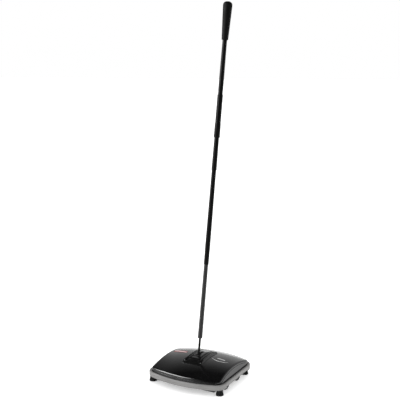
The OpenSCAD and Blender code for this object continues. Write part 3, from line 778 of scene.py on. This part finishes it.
def handle_piece(name, profile, material, slot, node):
    """A turned piece on the handle, for one CAD node."""
    verts, faces = lathe(profile, HANDLE_SIDES)
    obj = make(name, placed(verts, ON_HANDLE), faces, material, sharp_deg=35)
    return stand_for(obj, "handle", slot, node)


def build_handle():
    """The rod and tubes from the foot up, each a turned (radius, distance from the pivot) profile."""
    foot = along("rod_foot")
    rod = along("bottom_rod")
    plug = along("lower_tube_plug")
    low = along("lower_tube")
    joint = along("lower_coupling")
    mid = along("middle_tube")
    up = along("upper_tube")
    sleeve = along("coupling_sleeve")
    top = along("top_tube")
    hand = along("grip")
    build_foot(foot[1])
    rod_profile = [(0, rod[0]), (2.2, rod[0]), (2.2, foot[1]), (3.15, foot[1] + 0.2),
                   (3.15, rod[1]), (0, rod[1])]
    handle_piece("rod", rounded(rod_profile, 0.3), TUBE, "tube", "bottom_rod")
    plug_profile = [(3.2, plug[1]), (3.2, plug[0]), (5.9, plug[0]), (6.0, low[0] + 0.4),
                    (5.3, low[0] + 0.6), (5.3, plug[1]), (3.2, plug[1])]
    handle_piece("tube_plug", rounded(plug_profile, 0.5), TUBE_SATIN, "tube_satin", "lower_tube_plug")
    tube("tube_lower", low[0], joint[0], 6.65, 6.05, low[1], 5.6, TUBE_SATIN, "tube_satin", "lower_tube")
    joint_profile = [(3.6, joint[0] + 16), (5.75, joint[0] + 15), (5.75, joint[0] + 0.2),
                     (6.5, joint[0]), (7.0, joint[0] + 0.7), (7.05, joint[0] + 12),
                     (6.95, mid[0] - 12), (7.0, mid[0] - 0.4), (6.6, mid[0]),
                     (6.0, mid[0] + 0.2), (6.0, joint[1]), (3.6, joint[1]), (3.6, joint[0] + 16)]
    handle_piece("joint_lower", rounded(joint_profile, 0.5), COUPLING, "coupling", "lower_coupling")
    tube("tube_middle", mid[0], up[0], 7.3, 6.4, mid[1], 6.0, TUBE, "tube", "middle_tube")
    tube("tube_upper", up[0], sleeve[0], 7.35, 6.85, up[1], 6.5, TUBE, "tube", "upper_tube")
    step = sleeve[0] + 41
    sleeve_profile = [(6.7, sleeve[0] + 0.6), (7.6, sleeve[0]), (8.75, sleeve[0] + 1.0),
                      (8.55, step - 1.4), (8.0, step + 0.4), (8.0, sleeve[1] - 1.2),
                      (7.4, sleeve[1]), (6.7, sleeve[1] - 0.3), (6.7, sleeve[0] + 0.6)]
    handle_piece("joint_sleeve", rounded(sleeve_profile, 0.9), COUPLING, "coupling", "coupling_sleeve")
    top_profile = [(5.5, top[0]), (6.5, top[0]), (6.5, sleeve[1] - 1), (6.75, sleeve[1] + 0.4),
                   (6.75, sleeve[1] + 11), (7.1, sleeve[1] + 12.2), (6.5, hand[0]),
                   (6.4, top[1]), (5.5, top[1]), (5.5, top[0])]
    handle_piece("tube_top", rounded(top_profile, 0.4), TUBE, "tube", "top_tube")
    build_grip(hand)


def tube(name, s0, s1, r0, r1, end, spigot_r, material, slot, node):
    """A tapered steel tube: a rolled lip at its foot and a swaged spigot at its top."""
    wall = 1.0
    profile = rounded([(r0 - wall, s0 + 38), (r0 - wall, s0), (r0 - 0.1, s0), (r0, s0 + 1.2), (r0, s0 + 3),
                       (r1, s1 - 1.2), (r1 - 0.2, s1 - 0.1), (spigot_r, s1 + 0.2), (spigot_r, end),
                       (spigot_r - wall, end), (spigot_r - wall, s0 + 40), (r0 - wall, s0 + 38)], 0.35)
    handle_piece(name, profile, material, slot, node)


def build_foot(top):
    """The barrel on the pivot pin, blended into the rod's socket."""
    half = POCKET_HALF - 0.5
    barrel = rounded([(1.55, -half), (3.8, -half), (4.4, -half + 0.6), (4.4, half - 0.6),
                      (3.8, half), (1.55, half), (1.55, -half)], 0.4)
    bv, bf = lathe(barrel, 64)
    bv = placed(bv, Matrix.Rotation(math.pi / 2, 4, "Y"))
    sv, sf = lathe(rounded([(2.2, 3.9), (2.2, top), (3.1, top), (3.5, top - 0.8),
                            (3.5, 2.6), (2.2, 2.6), (2.2, 3.9)], 0.3), 64)
    verts, faces = merge([(bv, bf), (sv, sf)])
    obj = make("foot_barrel", placed(verts, ON_HANDLE), faces, COUPLING, sharp_deg=35)
    stand_for(obj, "handle", "pad", "rod_foot")


def build_grip(span):
    """The hand grip, with a rolled lip, a domed top and the hanging hole bored across it."""
    s0, s1 = span
    r_top = (box_mm("grip")[1].x - box_mm("grip")[0].x) / 2
    length = s1 - s0
    r_foot, lip, dome, socket = 9.4, 2.1, 9.5, 80
    profile = [(0, s0 + socket), (6.6, s0 + socket), (6.6, s0 + 1.0), (7.3, s0)]
    profile += [(r_foot - lip + lip * math.sin(t), s0 + lip - lip * math.cos(t))
                for t in [math.pi / 2 * k / 6 for k in range(1, 7)]]
    for k in range(1, 25):
        u = k / 24
        profile.append((r_foot + (r_top - r_foot) * u ** 0.95, s0 + lip + (length - 15.1) * u))
    for k in range(1, 13):
        t = math.pi / 2 * k / 12
        profile.append((r_top - dome + dome * math.cos(t), s1 - dome + dome * math.sin(t)))
    profile.append((0, s1))
    verts, faces = lathe(profile, 96)
    obj = make("hand_grip", placed(verts, ON_HANDLE), faces, GRIP, sharp_deg=35)
    mount = next(m for m in frame["record"]["mounts"] if m["name"] == "hanging_hole")
    hole_r, reach = mount["dims"]["r_mm"], 20
    drill_v, drill_f = lathe([(0, -reach), (hole_r, -reach), (hole_r, reach), (0, reach)], 48)
    place = Matrix.Translation(Vector(mount["pos_m"]) / MM) @ Matrix.Rotation(math.pi / 2, 4, "Y")
    drill = make("drill", placed(drill_v, place), drill_f, GRIP)
    cut(obj, drill)
    shade(obj, 35)
    stand_for(obj, "handle", "grip", "grip")


def cut(obj, tool):
    """Takes one mesh away from another, for good."""
    m = obj.modifiers.new("cut", "BOOLEAN")
    m.operation = "DIFFERENCE"
    m.object = tool
    m.solver = "EXACT"
    apply_modifiers(obj)
    bpy.data.objects.remove(tool)


def apply_modifiers(obj):
    """Puts the evaluated mesh in place of the modifiers."""
    graph = bpy.context.evaluated_depsgraph_get()
    made = bpy.data.meshes.new_from_object(obj.evaluated_get(graph))
    obj.modifiers.clear()
    old = obj.data
    obj.data = made
    bpy.data.meshes.remove(old)


# ---------- brushes ----------

STRANDS_PER_TUFT = 13
TUFT_RINGS = [(3.0, 9), (5.8, 16), (8.3, 26)]  # (radius, tufts)


def strand(points, radius, sides=4):
    """A thin tapered filament through a few points."""
    verts, faces = [], []
    for i, p in enumerate(points):
        a, b = Vector(points[max(i - 1, 0)]), Vector(points[min(i + 1, len(points) - 1)])
        along_dir = (b - a).normalized()
        side = along_dir.orthogonal().normalized()
        up = along_dir.cross(side)
        r = radius * (1 - 0.35 * i / (len(points) - 1))
        for k in range(sides):
            t = 2 * math.pi * k / sides
            verts.append(tuple(Vector(p) + side * r * math.cos(t) + up * r * math.sin(t)))
    faces = rings_to_faces(len(points), sides)
    faces.append(tuple(reversed(range(sides))))
    faces.append(tuple(range(len(verts) - sides, len(verts))))
    return verts, faces


def build_corner_brush(name):
    """Rings of stiff filaments that spread a little towards the floor."""
    rng = random.Random(name)
    lo, hi = box_mm(name + "_tuft")
    cx, cy = (lo.x + hi.x) / 2, (lo.y + hi.y) / 2
    reach = (hi.x - lo.x) / 2
    parts = []
    outer_ring = TUFT_RINGS[-1][0]
    for ring_r, count in TUFT_RINGS:
        for k in range(count):
            t = 2 * math.pi * (k + 0.5 * (ring_r > 6)) / count
            for _ in range(STRANDS_PER_TUFT):
                a = t + rng.uniform(-0.09, 0.09) * 8 / ring_r
                r0 = ring_r + rng.uniform(-0.7, 0.7)
                flare = r0 / outer_ring * rng.uniform(1.9, 2.9) * (1 if ring_r > 8 else 0.7)
                r1 = min(r0 + flare, reach - 0.05)
                a1 = a + rng.uniform(-0.06, 0.06)
                z1 = lo.z + rng.uniform(0.0, 0.45)
                mid_r = r0 + (r1 - r0) * 0.35
                parts.append(strand([
                    (cx + r0 * math.cos(a), cy + r0 * math.sin(a), hi.z + 0.6),
                    (cx + mid_r * math.cos(a), cy + mid_r * math.sin(a), (hi.z + z1) / 2),
                    (cx + r1 * math.cos(a1), cy + r1 * math.sin(a1), z1)], 0.36))
    verts, faces = merge(parts)
    obj = make(name + "_filaments", verts, faces, BRISTLE)
    stand_for(obj, name + "_corner_brush", "bristle", name + "_tuft")


def build_roller_bristles():
    """Spiral rows of tufts, each a small bundle of filaments."""
    rng = random.Random("roller")
    lo, hi = box_mm("brush_bristles")
    axis_y, axis_z = (lo.y + hi.y) / 2, (lo.z + hi.z) / 2
    reach = (hi.z - lo.z) / 2
    core = (box_mm("brush_core")[1].z - box_mm("brush_core")[0].z) / 2
    rows, per_row = 5, 42
    twist = math.radians(120)
    root = core - 0.8
    x0, x1 = lo.x + 2, hi.x - 2
    parts = []
    for row in range(rows):
        for k in range(per_row):
            u = k / (per_row - 1)
            x = x0 + (x1 - x0) * u
            base = 2 * math.pi * row / rows + twist * u
            for _ in range(STRANDS_PER_TUFT):
                dx = rng.gauss(0, 0.55)
                da = rng.gauss(0, 0.045)
                tip_dx = dx * 2.2 + rng.uniform(-0.5, 0.5)
                tip_da = da * 1.6 + rng.uniform(-0.02, 0.02)
                tip_r = reach - 0.1 - rng.uniform(0, 1.0)
                points = []
                for f in (0.0, 0.5, 1.0):
                    r = root + (tip_r - root) * f
                    ang = base + da + (tip_da - da) * f
                    points.append((x + dx + (tip_dx - dx) * f, axis_y + r * math.cos(ang),
                                   axis_z + r * math.sin(ang)))
                parts.append(strand(points, 0.2, 3))
    verts, faces = merge(parts)
    obj = make("roller_filaments", verts, faces, BRISTLE)
    stand_for(obj, "roller", "bristle", "brush_bristles")


# ---------- wheels ----------

def along_x(x, y, z):
    """Turns a lathe's axis to +X and moves it to a place."""
    return Matrix.Translation((x, y, z)) @ Matrix.Rotation(math.pi / 2, 4, "Y")


def build_wheel(name):
    """The tyre, with three shallow grooves round its tread."""
    lo, hi = box_mm(name + "_tyre")
    w = hi.x - lo.x
    cy, cz = (lo.y + hi.y) / 2, (lo.z + hi.z) / 2
    r = (hi.z - lo.z) / 2
    hub_r = (box_mm(name + "_wheel")[1].z - box_mm(name + "_wheel")[0].z) / 2
    tread = [(hub_r, 0), (r - 1.0, 0), (r, 1.0)]
    for k in range(3):
        z = w * (k + 1) / 4
        tread += [(r, z - 0.5), (r - 0.5, z - 0.3), (r - 0.5, z + 0.3), (r, z + 0.5)]
    tread += [(r, w - 1.0), (r - 1.0, w), (hub_r, w), (hub_r, 0)]
    verts, faces = lathe(tread, 96)
    body = name + "_running_wheel"
    obj = make(name + "_tread", placed(verts, along_x(lo.x, cy, cz)), faces, RUBBER, sharp_deg=35)
    stand_for(obj, body, "tyre", name + "_tyre")


# ---------- springs ----------

def build_springs(node, end):
    """Two torsion springs: a wound coil on the rod with a leg at each end."""
    rod_lo, rod_hi = box_mm("front_pan_rod" if end == FRONT else "rear_pan_rod")
    cy, cz = (rod_lo.y + rod_hi.y) / 2, (rod_lo.z + rod_hi.z) / 2
    wire, coil_r, turns, per_turn = 0.42, 2.5, 7, 22
    spring_x, coil_w = 76, 6
    parts = []
    for side in (LEFT, RIGHT):
        x0 = side * spring_x - coil_w / 2
        path = [(x0, cy + end * 9.5, cz + coil_r)]
        count = turns * per_turn
        for k in range(count + 1):
            t = 2 * math.pi * k / per_turn
            path.append((x0 + coil_w * k / count, cy - end * coil_r * math.sin(t),
                         cz + coil_r * math.cos(t)))
        last = path[-1]
        path.append((last[0] + 0.2, cy + end * 1.0, cz - 8.8))
        parts.append(wire_tube(path, wire))
    verts, faces = merge(parts)
    obj = make(node + "_wire", verts, faces, STEEL)
    stand_for(obj, "case", "steel", node)


def wire_tube(path, radius, sides=8):
    """A round wire along a path, with flat ends."""
    verts = []
    normal = None
    for i, p in enumerate(path):
        a, b = Vector(path[max(i - 1, 0)]), Vector(path[min(i + 1, len(path) - 1)])
        d = (b - a).normalized()
        if normal is None:
            normal = d.orthogonal().normalized()
        normal = (normal - d * normal.dot(d)).normalized()
        other = d.cross(normal)
        for k in range(sides):
            t = 2 * math.pi * k / sides
            verts.append(tuple(Vector(p) + normal * radius * math.cos(t) + other * radius * math.sin(t)))
    faces = rings_to_faces(len(path), sides)
    faces.append(tuple(reversed(range(sides))))
    faces.append(tuple(range(len(verts) - sides, len(verts))))
    return verts, faces


# ---------- carried-over CAD nodes ----------

def dress(material, *nodes):
    """Gives CAD nodes a finished material."""
    for name in nodes:
        obj = frame["nodes"][name]
        obj.data.materials.clear()
        obj.data.materials.append(material)


def dress_frame():
    """Finishes the nodes that are carried over."""
    dress(FRAME_BLACK, "base_frame", "front_comb", "rear_comb", "left_drive_hub", "right_drive_hub")
    dress(PAN_BLACK, "front_pan", "rear_pan")
    dress(PLATE, "left_end_plate", "right_end_plate")
    dress(STEEL, "cover_screws", "bracket_screws", "pivot_screws", "pivot_pin",
          "front_pan_rod", "rear_pan_rod", "brush_shaft", "top_tube_ferrule",
          *[corner + "_axle" for corner in CORNERS])
    dress(NYLON, "left_shaft_bush", "right_shaft_bush")
    dress(WOOD, "brush_core")
    dress(WHEEL_BLACK, *[corner + "_wheel" for corner in CORNERS])
    dress(FRAME_BLACK, *[corner + "_rosette" for corner in CORNERS])


# ---------- studio ----------

def build_floor():
    """A plain white floor that runs out of sight."""
    reach = 60000
    s = Shader("studio_floor", (0.9, 0.9, 0.9), 0.9, Specular_IOR_Level=0.1,
               Emission_Color=(1, 1, 1, 1), Emission_Strength=0.42)
    s.vary_color(s.noise(3, 2), (0.895, 0.895, 0.895), (0.905, 0.905, 0.905))
    corners = [(-reach, -reach, 0), (reach, -reach, 0), (reach, reach, 0), (-reach, reach, 0)]
    floor = make("studio_floor", corners, [(0, 1, 2, 3)], s.mat, smooth_faces=False)


# The world's level by the Z of the direction. Past either end it stays as it is there.
SKY = [(0.0, 0.8), (0.22, 0.77), (0.45, 0.61), (0.60, 0.40), (0.72, 0.15), (0.80, 0.01)]


def build_world():
    """A soft surround that gloss and shade see, while the camera sees plain white.

    It is bright low down and dark overhead. Towards the front it is stronger on the left and nearly
    dark on the right. Towards the rear it is even, but dimmer at the far left.
    """
    world = bpy.data.worlds.new("studio")
    bpy.context.scene.world = world
    world.use_nodes = True
    nodes, links = world.node_tree.nodes, world.node_tree.links
    split = nodes.new("ShaderNodeSeparateXYZ")
    links.new(nodes.new("ShaderNodeTexCoord").outputs["Generated"], split.inputs["Vector"])
    ramp = nodes.new("ShaderNodeValToRGB")
    elements = ramp.color_ramp.elements
    while len(elements) < len(SKY):
        elements.new(0.5)
    for element, (at, level) in zip(elements, SKY):
        element.position = at
        element.color = (level, level, level, 1)
    links.new(split.outputs["Z"], ramp.inputs["Fac"])
    front, rear, depth = (nodes.new("ShaderNodeMapRange") for _ in range(3))
    set_range(front, -0.45, 0.0, 1.9, 0.05)
    set_range(rear, -0.66, -0.56, 0.3, 1.0)
    set_range(depth, -0.3, 0.3, 0.0, 1.0)
    links.new(split.outputs["X"], front.inputs["Value"])
    links.new(split.outputs["X"], rear.inputs["Value"])
    links.new(split.outputs["Y"], depth.inputs["Value"])
    links.new(front.outputs["Result"], depth.inputs["To Min"])
    links.new(rear.outputs["Result"], depth.inputs["To Max"])
    level = nodes.new("ShaderNodeMath")
    level.operation = "MULTIPLY"
    links.new(ramp.outputs["Color"], level.inputs[0])
    links.new(depth.outputs["Result"], level.inputs[1])
    seen = nodes.new("ShaderNodeMix")
    seen.inputs[3].default_value = 1.0
    links.new(level.outputs["Value"], seen.inputs[2])
    links.new(nodes.new("ShaderNodeLightPath").outputs["Is Camera Ray"], seen.inputs["Factor"])
    links.new(seen.outputs[0], nodes["Background"].inputs["Strength"])
    nodes["Background"].inputs["Color"].default_value = (1, 1, 1, 1)


def build_lights():
    """An even dome, kept out of the gloss, and a softbox that only gloss sees, for the cover's edges."""
    scene = bpy.context.scene
    scene.view_settings.view_transform = "Standard"
    dome = bpy.data.lights.new("dome", "SUN")
    dome.energy = 3.0
    dome.angle = math.radians(172)
    dome_obj = bpy.data.objects.new("dome", dome)
    scene.collection.objects.link(dome_obj)
    dome_obj.visible_glossy = False
    box = bpy.data.lights.new("ridge_softbox", "AREA")
    box.shape = "RECTANGLE"
    box.size, box.size_y = 2.0, 1.0
    box.energy = 78
    box_obj = bpy.data.objects.new("ridge_softbox", box)
    scene.collection.objects.link(box_obj)
    place = Vector((-0.6, -0.45, 0.65)).normalized() * 2.5
    box_obj.location = place
    box_obj.rotation_mode = "QUATERNION"
    box_obj.rotation_quaternion = (Vector((0, 0, 0.05)) - place).to_track_quat("-Z", "Y")
    box_obj.visible_diffuse = False


def build_camera():
    """A long lens at the photograph's viewing angle, with no roll and no shift."""
    data = bpy.data.cameras.new("camera")
    data.sensor_width = 36
    data.lens = 68.5014
    data.clip_end = 100
    obj = bpy.data.objects.new("camera", data)
    bpy.context.scene.collection.objects.link(obj)
    azimuth, pitch = math.radians(28.42619), math.radians(9.72379)
    level = math.cos(pitch)
    back = Vector((math.sin(azimuth) * level, -math.cos(azimuth) * level, math.sin(pitch)))
    obj.location = (0.99042, -1.83144, 0.87523)
    obj.rotation_mode = "QUATERNION"
    obj.rotation_quaternion = (-back).to_track_quat("-Z", "Y")
    bpy.context.scene.camera = obj


build_bumper()
build_cover()
build_pad()
build_badge()
build_accent()
build_handle()
for corner in CORNERS:
    build_corner_brush(corner)
    build_wheel(corner)
build_roller_bristles()
build_springs("front_pan_springs", FRONT)
build_springs("rear_pan_springs", REAR)
dress_frame()
build_floor()
build_world()
build_lights()
build_camera()
